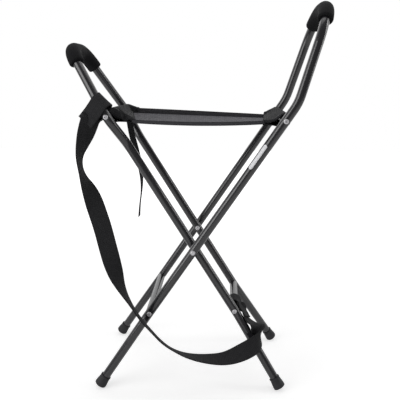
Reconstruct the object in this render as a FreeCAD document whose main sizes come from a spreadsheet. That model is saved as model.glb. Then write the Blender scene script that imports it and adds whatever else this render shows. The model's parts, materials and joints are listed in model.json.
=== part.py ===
import FreeCAD, Part
import math
import os

import Sketcher
from FreeCAD import Placement, Rotation, Vector

# Folding walking stick seat: two bent tube frames crossed on a pair of rivets, with a
# fabric sling between their seat crossbars. X runs left to right, the near side is -Y,
# Z is up, and the origin is on the floor under the middle of the frames.

# Driving sizes in millimetres and degrees: name, value, what it is.
SIZES = (
    ("tube_dia", 16.0, "frame tube, outside"),
    ("tube_wall", 1.2, "frame tube, wall"),
    ("crossbar_dia", 15.5, "crossbar tube, outside"),
    ("crossbar_wall", 1.2, "crossbar tube, wall"),
    ("seating_gap", 0.05, "gap where a part is shaped to a tube"),
    ("fit_gap", 0.08, "gap round a pin in its hole"),
    ("running_gap", 0.3, "gap between parts that move past each other"),
    ("pivot_height", 274.0, "pivot axis above the floor"),
    ("pivot_gap", 8.5, "clear space between the two legs at a pivot"),
    ("inner_leg_spacing", 127.0, "inner legs at the pivot, centre to centre"),
    ("outer_lean_angle", 33.7, "outer legs from the vertical"),
    ("inner_lean_angle", 31.7, "inner legs from the vertical"),
    ("seat_reach", 282.0, "pivot to a seat crossbar, along the leg"),
    ("lower_reach", 147.0, "pivot to a lower crossbar, along the leg"),
    ("flare_drop", 10.0, "lower crossbar to the bend of the foot"),
    ("outer_flare_angle", 5.2, "outward angle of the outer feet"),
    ("inner_flare_angle", 11.1, "outward angle of the inner feet"),
    ("flare_radius", 80.0, "bend of the feet"),
    ("outer_bend_rise", 36.0, "seat crossbar to the bend of the outer frame"),
    ("outer_bend_radius", 90.0, "bend of the outer frame above the seat"),
    ("outer_top_lean_angle", 17.0, "outer handle from the vertical"),
    ("outer_top_length", 163.0, "outer handle, bend to top"),
    ("outer_top_taper_angle", 6.6, "inward angle of the outer handle's sides"),
    ("outer_corner_radius", 69.0, "top corners of the outer handle"),
    ("joggle_angle", 23.3, "outward angle of the step in the inner legs"),
    ("joggle_radius", 45.0, "bends of that step"),
    ("inner_top_length", 132.0, "inner handle, seat crossbar to top"),
    ("inner_top_taper_angle", 19.4, "inward angle of the inner handle's sides"),
    ("inner_corner_radius", 40.0, "top corners of the inner handle"),
    ("grip_dia", 27.0, "foam grip, outside"),
    ("grip_length", 135.0, "foam grip, round the bend"),
    ("grip_edge", 3.0, "rounding of the foam's ends"),
    ("outer_grip_shift", 1.0, "outer grip's slide towards the far side"),
    ("inner_grip_shift", 4.5, "inner grip's slide towards the far side"),
    ("foot_dia", 22.4, "rubber foot at the floor"),
    ("foot_height", 21.0, "rubber foot"),
    ("foot_floor", 5.0, "rubber under the tube"),
    ("foot_wall", 1.45, "rubber round the tube"),
    ("foot_bead", 0.5, "lip at the foot's mouth, beyond its wall"),
    ("foot_bead_height", 2.2, "height of that lip"),
    ("foot_base_height", 4.5, "straight part at the foot's base"),
    ("foot_edge", 1.0, "rounding of the foot's bottom edge"),
    ("tread_depth", 0.8, "ring grooves in the sole"),
    ("tread_width", 1.2, "ring grooves in the sole"),
    ("tread_radius", 4.5, "inner ring groove in the sole"),
    ("tread_pitch", 3.0, "from one ring groove to the next"),
    ("disc_thickness", 1.2, "steel disc under the tube end"),
    ("screw_dia", 5.0, "crossbar screw"),
    ("screw_head_dia", 8.5, "crossbar screw, head"),
    ("screw_head_rise", 2.4, "head above the tube"),
    ("screw_dome", 1.9, "rounding of the head"),
    ("socket_width", 3.0, "hexagon socket, across the flats"),
    ("socket_depth", 1.6, "hexagon socket"),
    ("plug_length", 14.0, "threaded plug in a crossbar end"),
    ("plug_setback", 1.5, "leg to the plug"),
    ("rivet_dia", 6.0, "pivot rivet"),
    ("rivet_head_dia", 9.0, "pivot rivet, heads"),
    ("rivet_head_rise", 2.2, "head above the tube"),
    ("rivet_dome", 1.8, "rounding of the heads"),
    ("spacer_dia", 12.0, "spacers and washers at the pivot"),
    ("washer_thickness", 1.0, "saddle washer at its thinnest"),
    ("seat_depth", 144.0, "sling, near edge to far edge"),
    ("cloth_thickness", 2.0, "sling fabric, doubled in its sleeves"),
    ("panel_thickness", 2.4, "woven sling"),
    ("sleeve_ease", 2.2, "slack of a sleeve round its crossbar"),
    ("sleeve_reach", 26.0, "crossbar to the sleeve's stitch line"),
    ("stitch_width", 5.0, "closed part of the sleeve at the stitch line"),
    ("stitch_drop", 3.5, "stitch line below the crossbar's centre"),
    ("panel_sag", 3.0, "sling's middle below its stitch lines"),
    ("hem_height", 10.0, "bound edge of the sling"),
    ("hem_thickness", 2.4, "bound edge of the sling"),
    ("near_hem_rise", 2.2, "near edge above the sling"),
    ("far_hem_rise", 8.6, "far edge above the sling"),
    ("webbing_width", 32.0, "carry strap"),
    ("webbing_thickness", 2.0, "carry strap"),
    ("loop_rise", 33.0, "seat crossbar to the strap's top loop, along the leg"),
    ("loop_slant_angle", 24.0, "the strap's top loop from square across its leg"),
    ("loop_setback", 1.5, "leg to the strap's lower loop"),
    ("tape_width", 12.0, "closure tape"),
    ("tape_thickness", 1.2, "closure tape"),
)

# Carry strap, top to bottom: a point of its route, measured from the middle of the pivot axis,
# and the way its width lies there.
STRAP_ROUTE = (
    (-175.5, -89, 236, 1, 0.3, -0.3),
    (-183, -91, 214, 0.8, 0.6, -0.3),
    (-190, -94, 194, 0.4, 0.9, -0.25),
    (-197, -97, 170, 0, 1, -0.3),
    (-193, -99, 142, 0, 1, -0.25),
    (-178, -102, 111, 0.6, 0.8, 0.2),
    (-168, -104, 79, 0.9, 0.3, 0.3),
    (-158, -107, 47, 0.9, 0.3, 0.2),
    (-148, -111, 4, 0.9, 0.3, 0.2),
    (-139, -114, -29, 0.7, 0.7, 0.2),
    (-127, -117, -62, 0.1, 1, 0),
    (-112, -118, -91, -0.2, 1, -0.15),
    (-95, -118, -121, -0.2, 1, -0.25),
    (-76, -118, -144, -0.15, 0.95, -0.35),
    (-56, -118, -167.5, -0.1, 0.9, -0.4),
    (-35, -118, -183, -0.1, 0.9, -0.42),
    (-7, -121, -192.5, -0.1, 0.95, -0.25),
    (29, -122, -196.5, -0.1, 1, 0),
    (63, -120, -196, -0.2, 0.95, 0.25),
    (95, -111, -186, -0.35, 0.65, 0.65),
    (117, -99, -178, -0.4, 0.2, 0.9),
    (127, -84, -172, -0.15, 0, 1),
    (129, -71, -160, 0, -0.4, 0.85),
    (114, -60, -151, -0.1, -0.9, 0.45),
    (103, -52, -144, -0.1, -0.95, 0.3),
    (99, -47, -133, -0.2, -1, 0.1),
)

# Closure tape, from the left sleeve down, in the same way.
TAPE_ROUTE = (
    (-127, 6, 232.5, 1, 0, 0.3),
    (-119, 6, 205, 1, 0.2, 0.2),
    (-109, 5, 172, 0.9, 0.4, 0.3),
    (-105, 4, 144, 0.7, 0.7, 0.1),
    (-104, 4, 115, 0.4, 0.9, 0),
    (-107, 5, 86, 0.2, 1, 0),
    (-111, 5, 63, 0.2, 1, 0),
    (-113, 6, 38, 0.2, 1, 0),
)

UP = Vector(0, 0, 1)
ACROSS = Vector(0, 1, 0)
NEAR, FAR = -1, 1

doc = FreeCAD.newDocument("WalkingStickSeat")
sheet = doc.addObject("Spreadsheet::Sheet", "Sizes")
for row, (alias, amount, meaning) in enumerate(SIZES, start=1):
    sheet.set(f"A{row}", meaning)
    sheet.set(f"B{row}", str(amount))
    sheet.setAlias(f"B{row}", alias)
doc.recompute()


class Size:
    """A length or angle: its value, and the formula of spreadsheet cells that gives it."""

    def __init__(self, value, formula):
        self.value = value
        self.formula = formula

    def __float__(self):
        return float(self.value)

    def __add__(self, other):
        return Size(self.value + float(other), f"({self.formula} + {formula_of(other)})")

    def __sub__(self, other):
        return Size(self.value - float(other), f"({self.formula} - {formula_of(other)})")

    def __neg__(self):
        return Size(-self.value, f"(-1 * {self.formula})")

    def __rsub__(self, other):
        return Size(float(other) - self.value, f"({formula_of(other)} - {self.formula})")

    def __mul__(self, other):
        return Size(self.value * float(other), f"({self.formula} * {formula_of(other)})")

    def __truediv__(self, other):
        return Size(self.value / float(other), f"({self.formula} / {formula_of(other)})")

    __radd__ = __add__
    __rmul__ = __mul__


def formula_of(size):
    return size.formula if isinstance(size, Size) else repr(float(size))


def cell(alias):
    return Size(getattr(sheet, alias), f"Sizes.{alias}")


def sine(angle):
    return Size(math.sin(math.radians(float(angle))), f"sin({formula_of(angle)})")


def cosine(angle):
    return Size(math.cos(math.radians(float(angle))), f"cos({formula_of(angle)})")


def tangent(angle):
    return Size(math.tan(math.radians(float(angle))), f"tan({formula_of(angle)})")


def root(size):
    return Size(math.sqrt(float(size)), f"sqrt({formula_of(size)})")


def vector(x, y, z):
    return Vector(float(x), float(y), float(z))


def bind(item, **sizes):
    """Give each named property its value, and tie it to the spreadsheet."""
    for name, size in sizes.items():
        setattr(item, name, float(size))
        if isinstance(size, Size):
            item.setExpression(name, size.formula)


def cylinder(name, radius, length, base, direction):
    item = doc.addObject("Part::Cylinder", name)
    bind(item, Radius=radius, Height=length)
    item.Placement = Placement(base, Rotation(UP, direction))
    return item


def cut(name, base, tool):
    item = doc.addObject("Part::Cut", name)
    item.Base = base
    item.Tool = tool
    return item


def join(name, items):
    item = doc.addObject("Part::MultiFuse", name)
    item.Shapes = items
    return item


def group(name, items):
    """Like pieces kept together as separate solids."""
    item = doc.addObject("Part::Compound", name)
    item.Links = items
    return item


def solid(name, shape):
    item = doc.addObject("Part::Feature", name)
    item.Shape = shape
    item.Placement = Placement()
    return item


def bent_line(corners, radii):
    """The centre line through the corners, each bend an arc tangent to both runs."""
    edges = []
    start = corners[0]
    for before, corner, after, radius in zip(corners, corners[1:], corners[2:], radii):
        back = (before - corner).normalize()
        ahead = (after - corner).normalize()
        half_turn = (math.pi - back.getAngle(ahead)) / 2
        setback = radius * math.tan(half_turn)
        middle = corner + (back + ahead).normalize() * radius * (1 / math.cos(half_turn) - 1)
        arc_start = corner + back * setback
        arc_end = corner + ahead * setback
        edges.append(Part.LineSegment(start, arc_start).toShape())
        edges.append(Part.Arc(arc_start, middle, arc_end).toShape())
        start = arc_end
    edges.append(Part.LineSegment(start, corners[-1]).toShape())
    return Part.Wire(edges)


def stretch_of(line, start, length):
    """The part of a centre line from one distance along it to another."""
    pieces = []
    passed = 0
    for edge in line.OrderedEdges:
        first = max(start - passed, 0)
        last = min(start + length - passed, edge.Length)
        if last > first:
            pieces.append(edge.Curve.toShape(edge.getParameterByLength(first),
                                             edge.getParameterByLength(last)))
        passed += edge.Length
    return Part.Wire(pieces)


def rod(name, line, radius):
    """A solid round bar along a centre line."""
    path = solid(name + "_line", line)
    profile = doc.addObject("Part::Circle", name + "_profile")
    bind(profile, Radius=radius)
    first = line.OrderedEdges[0]
    start = line.OrderedVertexes[0].Point
    profile.Placement = Placement(start, Rotation(UP, first.tangentAt(first.FirstParameter)))
    item = doc.addObject("Part::Sweep", name)
    item.Sections = [profile]
    item.Spine = (path, [f"Edge{number}" for number in range(1, len(line.Edges) + 1)])
    item.Solid = True
    return item


def turned_body(name, outline):
    """A body turned about its own Z axis from an outline of (radius, height) corners."""
    body = doc.addObject("PartDesign::Body", name)
    sketch = body.newObject("Sketcher::SketchObject", name + "_outline")
    plane = next(item for item in body.Origin.OriginFeatures if item.Role == "XZ_Plane")
    sketch.AttachmentSupport = [(plane, "")]
    sketch.MapMode = "FlatFace"
    places = [Vector(float(radius), float(height), 0) for radius, height in outline]
    for number, place in enumerate(places):
        sketch.addGeometry(Part.LineSegment(place, places[(number + 1) % len(places)]), False)
    for number, (radius, height) in enumerate(outline):
        following = (number + 1) % len(outline)
        sketch.addConstraint(Sketcher.Constraint("Coincident", number, 2, following, 1))
    for number, (radius, height) in enumerate(outline):
        hold(sketch, number, "DistanceX", -2, radius)
        hold(sketch, number, "DistanceY", -1, height)
    turned = body.newObject("PartDesign::Revolution", name + "_turned")
    turned.Profile = sketch
    turned.ReferenceAxis = (sketch, ["V_Axis"])
    turned.Angle = 360
    return body


def hold(sketch, line, kind, axis, size):
    """Fix a corner on an axis of the sketch, or at a distance from it."""
    if float(size) == 0:
        sketch.addConstraint(Sketcher.Constraint("PointOnObject", line, 1, axis))
        return
    number = sketch.addConstraint(Sketcher.Constraint(kind, -1, 1, line, 1, float(size)))
    sketch.setExpression(f"Constraints[{number}]", formula_of(size))


def rim(body, radius, height):
    """The name of the round edge of a turned body at a radius and height."""
    for number, edge in enumerate(body.Shape.Edges, start=1):
        if isinstance(edge.Curve, Part.Circle):
            middle = edge.Curve.Center
            if abs(edge.Curve.Radius - float(radius)) < 1e-4 and abs(middle.z - float(height)) < 1e-4:
                return f"Edge{number}"
    raise ValueError(f"{body.Name} has no rim of radius {float(radius)} at {float(height)}")


def rounded_rim(body, name, radius, height, rounding):
    doc.recompute()
    base = body.Tip
    edge = rim(body, radius, height)
    fillet = body.newObject("PartDesign::Fillet", name)
    fillet.Base = (base, [edge])
    bind(fillet, Radius=rounding)
    return fillet


def strap_section(middle, along, side, width, thickness):
    """A strap's cross-section, square to its run, with its width lying the given way."""
    side = (side - along * side.dot(along)).normalize() * width / 2
    face = along.cross(side).normalize() * thickness / 2
    corners = [middle - side - face, middle + side - face, middle + side + face, middle - side + face]
    return Part.makePolygon(corners + corners[:1])


def band(route, width, thickness, steps):
    """A flat strap along the smooth curve that the route's points draw, turning with its width."""
    ends = [3] + [1] * (len(route) - 3) + [3]
    knots = list(range(len(route) - 1))
    curve = Part.BSplineCurve()
    curve.buildFromPolesMultsKnots([Vector(*point[:3]) for point in route], ends, knots, False, 2)
    lay = Part.BSplineCurve()
    lay.buildFromPolesMultsKnots([Vector(*point[3:]) for point in route], ends, knots, False, 2)
    sections = []
    for step in range(steps * knots[-1] + 1):
        place = step / steps
        along = curve.tangent(place)[0]
        sections.append(strap_section(curve.value(place), along, lay.value(place), width, thickness))
    return Part.makeLoft(sections, True, True), curve


tube_radius = cell("tube_dia") / 2
bore_radius = tube_radius - cell("tube_wall")
bar_radius = cell("crossbar_dia") / 2
pivot_height = cell("pivot_height")
inner_half = cell("inner_leg_spacing") / 2
outer_half = inner_half + cell("tube_dia") + cell("pivot_gap")
outer_bend_reach = cell("seat_reach") + cell("outer_bend_rise")
flare_reach = cell("lower_reach") + cell("flare_drop")

# The frames' two tops decide where the middle is.
outer_top = (outer_bend_reach * sine(cell("outer_lean_angle"))
             + cell("outer_top_length") * sine(cell("outer_top_lean_angle")))
inner_top = (cell("seat_reach") + cell("inner_top_length")) * sine(cell("inner_lean_angle"))
pivot_x = (inner_top - outer_top) / 2


def from_pivot(route):
    """A route's points, moved from the middle of the pivot axis to their place."""
    return [(x + float(pivot_x), y, z + float(pivot_height), *side) for x, y, z, *side in route]


class Leg:
    """One side of a frame: its lean, its side (near or far) and the points along it."""

    def __init__(self, lean, half, flare, side):
        self.lean = lean
        self.half = half
        self.side = side
        self.flare = flare
        steepness = math.cos(math.radians(abs(float(lean)))) * float(cosine(flare))
        edge = float(cell("foot_edge"))
        sole = float(cell("foot_dia")) / 2 - edge
        clear = sole * math.sqrt(1 - steepness ** 2) + edge * (1 - steepness)
        self.reach = (float(pivot_height) - clear) / math.cos(math.radians(float(lean)))
        spread = (self.reach - float(flare_reach)) * float(tangent(flare))
        self.sole = self.at(-self.reach, float(half) + spread)
        self.bend = self.at(-flare_reach, half)
        self.up = (self.bend - self.sole).normalize()
        self.end = self.sole + self.up * float(cell("foot_floor") + cell("disc_thickness"))

    def at(self, reach, half):
        """The point at a distance up the leg from the pivot, and out from the middle plane."""
        return vector(pivot_x + reach * sine(self.lean), self.side * float(half),
                      pivot_height + reach * cosine(self.lean))


def add_frame(frame, lean, half, flare, top_corners, top_radii):
    """One frame tube, with its holes and bore, and the rods that shape what seats on it."""
    near, far = [Leg(lean, half, flare, side) for side in (NEAR, FAR)]
    corners = [near.end, near.bend] + [place(near) for place in top_corners]
    corners += [place(far) for place in reversed(top_corners)] + [far.bend, far.end]
    radii = [float(radius) for radius in [cell("flare_radius")] + top_radii]
    line = bent_line(corners, radii + radii[::-1])
    holes = []
    for spot, reach, dia in (("seat", cell("seat_reach"), cell("screw_dia")),
                             ("lower", -cell("lower_reach"), cell("screw_dia")),
                             ("pivot", cell("pivot_gap") * 0, cell("rivet_dia"))):
        length = (outer_half + cell("tube_dia")) * 2
        base = near.at(reach, length / 2)
        holes.append(cylinder(f"{frame}_{spot}_hole", dia / 2 + cell("fit_gap"), length, base, ACROSS))
    holes = join(f"{frame}_holes", holes)
    bar = rod(f"{frame}_bar", line, tube_radius)
    bore = rod(f"{frame}_bore", line, bore_radius)
    tube = cut(f"{frame}_frame_tube", cut(f"{frame}_drilled_bar", bar, holes), bore)
    seating = rod(f"{frame}_seating", line, tube_radius + cell("seating_gap"))
    fastener_seating = cut(f"{frame}_fastener_seating", seating, holes)
    return near, far, line, tube, seating, fastener_seating


def outer_handle_corner(leg):
    length = cell("outer_top_length")
    lean = cell("outer_top_lean_angle")
    rise = vector(length * sine(lean), 0, length * cosine(lean))
    return leg.at(outer_bend_reach, leg.half - length * tangent(cell("outer_top_taper_angle"))) + rise


def inner_handle_corner(leg):
    length = cell("inner_top_length")
    return leg.at(cell("seat_reach") + length, outer_half - length * tangent(cell("inner_top_taper_angle")))


outer = add_frame(
    "outer", cell("outer_lean_angle"), outer_half, cell("outer_flare_angle"),
    [lambda leg: leg.at(outer_bend_reach, leg.half), outer_handle_corner],
    [cell("outer_bend_radius"), cell("outer_corner_radius")])
step_start = cell("seat_reach") - (outer_half - inner_half) / tangent(cell("joggle_angle"))
inner = add_frame(
    "inner", -cell("inner_lean_angle"), inner_half, cell("inner_flare_angle"),
    [lambda leg: leg.at(step_start, leg.half),
     lambda leg: leg.at(cell("seat_reach"), outer_half), inner_handle_corner],
    [cell("joggle_radius"), cell("joggle_radius"), cell("inner_corner_radius")])


def add_grip(frame, line, shift):
    """A foam sleeve round the top bend, with rounded ends."""
    middle = line.Length / 2 + float(cell(shift))
    length = float(cell("grip_length"))
    edge = float(cell("grip_edge"))
    radius = cell("grip_dia") / 2
    run = stretch_of(line, middle - length / 2 + edge, length - 2 * edge)
    foam = [rod(f"{frame}_foam", run, radius)]
    for number, along in ((0, -1), (-1, 1)):
        border = run.OrderedEdges[number]
        place = border.FirstParameter if along < 0 else border.LastParameter
        outward = border.tangentAt(place) * along
        end = Part.makeCylinder(float(radius), edge, border.valueAt(place), outward)
        rims = [item for item in end.Edges
                if isinstance(item.Curve, Part.Circle)
                and (item.Curve.Center - border.valueAt(place)).dot(outward) > edge / 2]
        foam.append(solid(f"{frame}_foam_end_{number + 2}", end.makeFillet(edge * 0.98, rims)))
    return foam


def add_foot(name, leg):
    """A rubber ferrule: a socket for the tube, a lip at its mouth and ring grooves in its sole."""
    socket = tube_radius + cell("seating_gap")
    wall = socket + cell("foot_wall")
    lip = wall + cell("foot_bead")
    sole = cell("foot_dia") / 2
    height = cell("foot_height")
    floor = cell("foot_floor")
    groove = cell("tread_width") / 2
    outline = [(0, 0)]
    for turn in range(2):
        ring = cell("tread_radius") + cell("tread_pitch") * turn
        outline += [(ring - groove, 0), (ring - groove, cell("tread_depth")),
                    (ring + groove, cell("tread_depth")), (ring + groove, 0)]
    lip_foot = height - cell("foot_bead_height")
    outline += [(sole, 0), (sole, cell("foot_base_height")), (wall, lip_foot - cell("foot_bead")),
                (lip, lip_foot), (lip, height), (socket, height), (socket, floor), (0, floor)]
    body = turned_body(name, outline)
    rounded_rim(body, name + "_edge", sole, 0, cell("foot_edge"))
    body.Placement = Placement(leg.sole, Rotation(UP, leg.up))
    return body


def add_discs(frame, legs):
    """The steel discs that keep the tube ends from cutting through the feet."""
    discs = []
    for leg in legs:
        base = leg.sole + leg.up * float(cell("foot_floor"))
        discs.append(cylinder(f"{frame}_foot_disc_{len(discs) + 1}", bore_radius + cell("tube_wall") / 2,
                              cell("disc_thickness"), base, leg.up))
    return group(f"{frame}_foot_discs", discs)


def add_crossbar(frame, spot, leg, reach, half, seating):
    """A crossbar tube whose ends are shaped to the legs."""
    base = leg.at(reach, half)
    outside = cylinder(f"{frame}_{spot}_stock", bar_radius, half * 2, base, ACROSS)
    bore = cylinder(f"{frame}_{spot}_stock_bore", bar_radius - cell("crossbar_wall"), half * 2, base, ACROSS)
    return cut(f"{frame}_{spot}_crossbar", cut(f"{frame}_{spot}_pipe", outside, bore), seating)


def dome_headed(name, shank, length, head, rise, dome, skirt):
    """A pin standing on its tip, with a domed head whose skirt reaches down round the tube."""
    top = length + rise
    outline = [(0, 0), (shank, 0), (shank, length - skirt), (head, length - skirt), (head, top), (0, top)]
    body = turned_body(name, outline)
    rounded_rim(body, name + "_dome", head, top, dome)
    return body


def add_screws(frame, near, far, spots, fastener_seating):
    """Button-head screws through the legs, and the threaded plugs that they hold."""
    shank = cell("screw_dia") / 2
    head = cell("screw_head_dia") / 2
    skirt = tube_radius - root(tube_radius * tube_radius - head * head)
    length = cell("tube_dia") + cell("plug_setback") + cell("plug_length")
    pattern = dome_headed(f"{frame}_screw", shank, length, head,
                          cell("screw_head_rise"), cell("screw_dome"), skirt)
    doc.recompute()
    across_corners = float(cell("socket_width")) / 2 / math.cos(math.radians(30))
    depth = float(cell("socket_depth"))
    top = float(length + cell("screw_head_rise"))
    turns = [math.radians(60 * side) for side in range(7)]
    hexagon = [Vector(across_corners * math.cos(turn), across_corners * math.sin(turn), top - depth)
               for turn in turns]
    screw = pattern.Shape.cut(Part.Face(Part.makePolygon(hexagon)).extrude(UP * depth * 2))
    screws = []
    plugs = []
    for reach, half in spots:
        for leg in (near, far):
            inward = Vector(0, -leg.side, 0)
            tip = leg.at(reach, half - tube_radius - cell("plug_setback") - cell("plug_length"))
            placed = screw.copy()
            placed.Placement = Placement(tip, Rotation(UP, -inward))
            screws.append(placed.cut(fastener_seating.Shape))
            plug = Part.makeCylinder(float(bar_radius - cell("crossbar_wall") - cell("seating_gap")),
                                     float(cell("plug_length")), tip, -inward)
            hole = Part.makeCylinder(float(shank + cell("seating_gap")), float(cell("plug_length")),
                                     tip, -inward)
            plugs.append(plug.cut(hole))
    return (solid(f"{frame}_crossbar_screws", Part.makeCompound(screws)),
            solid(f"{frame}_crossbar_plugs", Part.makeCompound(plugs)))


def add_rivet(name, leg, fastener_seating):
    """A pivot rivet: its outer head seats round the outer leg, its inner head is flat."""
    shank = cell("rivet_dia") / 2
    head = cell("rivet_head_dia") / 2
    rise = cell("rivet_head_rise")
    skirt = tube_radius - root(tube_radius * tube_radius - head * head)
    length = outer_half + tube_radius - (inner_half - tube_radius) + cell("running_gap")
    top = rise + length + rise
    outline = [(0, 0), (head, 0), (head, rise), (shank, rise), (shank, rise + length - skirt),
               (head, rise + length - skirt), (head, top), (0, top)]
    body = turned_body(name + "_blank", outline)
    rounded_rim(body, name + "_inner_dome", head, 0, cell("rivet_dome"))
    rounded_rim(body, name + "_outer_dome", head, top, cell("rivet_dome"))
    tip = leg.at(0, outer_half + tube_radius - length - rise)
    body.Placement = Placement(tip, Rotation(UP, Vector(0, leg.side, 0)))
    return cut(name, body, fastener_seating)


def add_collars(name, radius, bore, spots, seating):
    """Rings on the pivots, each shaped on one side to the leg that it seats on."""
    collars = []
    for base, direction, length in spots:
        number = len(collars) + 1
        ring = cut(f"{name}_ring_{number}",
                   cylinder(f"{name}_stock_{number}", radius, length, base, direction),
                   cylinder(f"{name}_bore_{number}", bore, length, base, direction))
        collars.append(cut(f"{name}_{number}", ring, seating))
    return group(name, collars)


def arch(start, end, sag):
    """A shallow arc between two points that hangs by the sag in its middle."""
    middle = (start + end) / 2 - UP * float(sag)
    return Part.Arc(start, middle, end).toShape()


def add_cloth_strip(name, left, right, sag, low, high, near, far):
    """A strip of the sling from one stitch line to the other, between two heights."""
    outline = [arch(left + UP * high, right + UP * high, sag),
               Part.LineSegment(right + UP * high, right + UP * low).toShape(),
               arch(right + UP * low, left + UP * low, sag),
               Part.LineSegment(left + UP * low, left + UP * high).toShape()]
    face = Part.Face(Part.Wire(outline))
    face.translate(Vector(0, near, 0))
    return solid(name, face.extrude(Vector(0, far - near, 0)))


def drop_outline(centre, radius, tip_top, tip_bottom, outward):
    """A teardrop: round about the centre, with tangents to the two corners of its tip."""
    touches = []
    for tip, sign in ((tip_top, 1), (tip_bottom, -1)):
        away = tip - centre
        spread = math.acos(radius / away.Length)
        angle = math.atan2(away.z, away.x) + sign * spread * -outward
        touches.append(centre + Vector(math.cos(angle), 0, math.sin(angle)) * radius)
    crown = centre + Vector(outward * radius, 0, 0)
    edges = [Part.LineSegment(tip_top, touches[0]).toShape(),
             Part.Arc(touches[0], crown, touches[1]).toShape(),
             Part.LineSegment(touches[1], tip_bottom).toShape()]
    if (tip_top - tip_bottom).Length > 1e-6:
        edges.append(Part.LineSegment(tip_bottom, tip_top).toShape())
    return Part.Face(Part.Wire(edges))


def add_sleeve(name, bar, stitch, outward):
    """The sewn sleeve that holds the sling on its crossbar, slack on the inboard side."""
    thickness = float(cell("cloth_thickness"))
    inside = float(bar_radius + cell("sleeve_ease"))
    centre = bar - Vector(outward, 0, 0) * float(cell("sleeve_ease") - cell("running_gap"))
    centre.y = 0
    fold = UP * thickness
    outer_drop = drop_outline(centre, inside + thickness, stitch + fold, stitch - fold, outward)
    pocket = stitch + Vector(outward, 0, 0) * float(cell("stitch_width"))
    inner_drop = drop_outline(centre, inside, pocket, pocket, outward)
    section = outer_drop.cut(inner_drop)
    depth = float(cell("seat_depth"))
    section.translate(Vector(0, -depth / 2, 0))
    return solid(name, section.extrude(Vector(0, depth, 0)))


outer_near, outer_far, outer_line, outer_tube, outer_seating, outer_fasteners = outer
inner_near, inner_far, inner_line, inner_tube, inner_seating, inner_fasteners = inner
parts = [outer_tube, inner_tube]

# The inner legs bow outward to the seat, and the bend there passes inside its corner.
step_turn = cell("joggle_angle") + cell("inner_top_taper_angle")
inner_seat_half = outer_half - cell("joggle_radius") * (1 / float(cosine(step_turn / 2)) - 1)
bars = {"outer": [(cell("seat_reach"), outer_half), (-cell("lower_reach"), outer_half)],
        "inner": [(cell("seat_reach"), inner_seat_half), (-cell("lower_reach"), inner_half)]}
frames = {"outer": (outer_near, outer_far, outer_line, outer_seating, outer_fasteners),
          "inner": (inner_near, inner_far, inner_line, inner_seating, inner_fasteners)}

for frame, (near, far, line, seating, fasteners) in frames.items():
    for spot, (reach, half) in zip(("seat", "lower"), bars[frame]):
        parts.append(add_crossbar(frame, spot, near, reach, half, seating))
    foam = join(f"{frame}_foam_blank", add_grip(frame, line, f"{frame}_grip_shift"))
    parts.append(cut(f"{frame}_grip", foam, seating))
    parts.append(add_foot(f"foot_{frame}_near", near))
    parts.append(add_foot(f"foot_{frame}_far", far))
    parts.append(add_discs(frame, (near, far)))
doc.recompute()
for frame, (near, far, line, seating, fasteners) in frames.items():
    parts += add_screws(frame, near, far, bars[frame], fasteners)

for name, leg in (("pivot_rivet_near", outer_near), ("pivot_rivet_far", outer_far)):
    parts.append(add_rivet(name, leg, outer_fasteners))
washer_face = inner_half + tube_radius + cell("washer_thickness")
spacer_face = washer_face + cell("running_gap")
collar_bore = cell("rivet_dia") / 2 + cell("fit_gap")
spacer_spots = [(leg.at(0, spacer_face), Vector(0, leg.side, 0), outer_half - spacer_face)
                for leg in (outer_near, outer_far)]
washer_spots = [(leg.at(0, washer_face), Vector(0, -leg.side, 0), washer_face - inner_half)
                for leg in (inner_near, inner_far)]
parts.append(add_collars("pivot_spacers", cell("spacer_dia") / 2, collar_bore, spacer_spots, outer_seating))
parts.append(add_collars("pivot_washers", cell("spacer_dia") / 2, collar_bore, washer_spots, inner_seating))

# Sling: a sleeve round each seat crossbar, and the woven panel between their stitch lines.
stitch_lines = {}
for name, leg, outward in (("seat_sleeve_left", inner_near, -1), ("seat_sleeve_right", outer_near, 1)):
    bar = leg.at(cell("seat_reach"), 0)
    stitch = bar - Vector(outward * float(cell("sleeve_reach")), 0, float(cell("stitch_drop")))
    stitch.y = 0
    stitch_lines[name] = stitch
    parts.append(add_sleeve(name, bar, stitch, outward))
left_stitch = stitch_lines["seat_sleeve_left"] + Vector(float(cell("running_gap")), 0, 0)
right_stitch = stitch_lines["seat_sleeve_right"]
half_panel = float(cell("panel_thickness")) / 2
half_depth = float(cell("seat_depth")) / 2
hem = float(cell("hem_thickness"))
parts.append(add_cloth_strip("seat_panel", left_stitch, right_stitch, cell("panel_sag"),
                             -half_panel, half_panel, hem - half_depth, half_depth - hem))
for name, rise, near in (("seat_edge_near", cell("near_hem_rise"), -half_depth),
                         ("seat_edge_far", cell("far_hem_rise"), half_depth - hem)):
    top = float(rise)
    parts.append(add_cloth_strip(name, left_stitch, right_stitch, cell("panel_sag"),
                                 top - float(cell("hem_height")), top, near, near + hem))

# Carry strap: a loop round the inner near leg above the seat, the free strap, and a loop
# round the near end of the inner lower crossbar.
width = float(cell("webbing_width"))
webbing = float(cell("webbing_thickness"))
strap_route = from_pivot(STRAP_ROUTE)
strap, strap_curve = band(strap_route, width, webbing, 3)
parts.append(solid("carry_strap", strap))
tape, tape_curve = band(from_pivot(TAPE_ROUTE), float(cell("tape_width")), float(cell("tape_thickness")), 3)
parts.append(solid("closure_tape", tape))


def add_strap_loop(name, centre, axis, lay, radius, tail):
    """Webbing sewn round a tube, its width lying the given way, with its doubled tail running
    off to the free strap."""
    sleeve = Part.makeCylinder(radius + webbing, 2 * width, centre - axis * width, axis)
    ring = sleeve.common(Part.makeCylinder(2 * width, width, centre - lay * width / 2, lay))
    sections = [strap_section(*place, 2 * webbing) for place in tail]
    tail_band = Part.makeLoft(sections, True, True)
    bore = Part.makeCylinder(radius, 2 * width, centre - axis * width, axis)
    return solid(name, ring.fuse(tail_band).cut(bore).removeSplitter())


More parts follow.
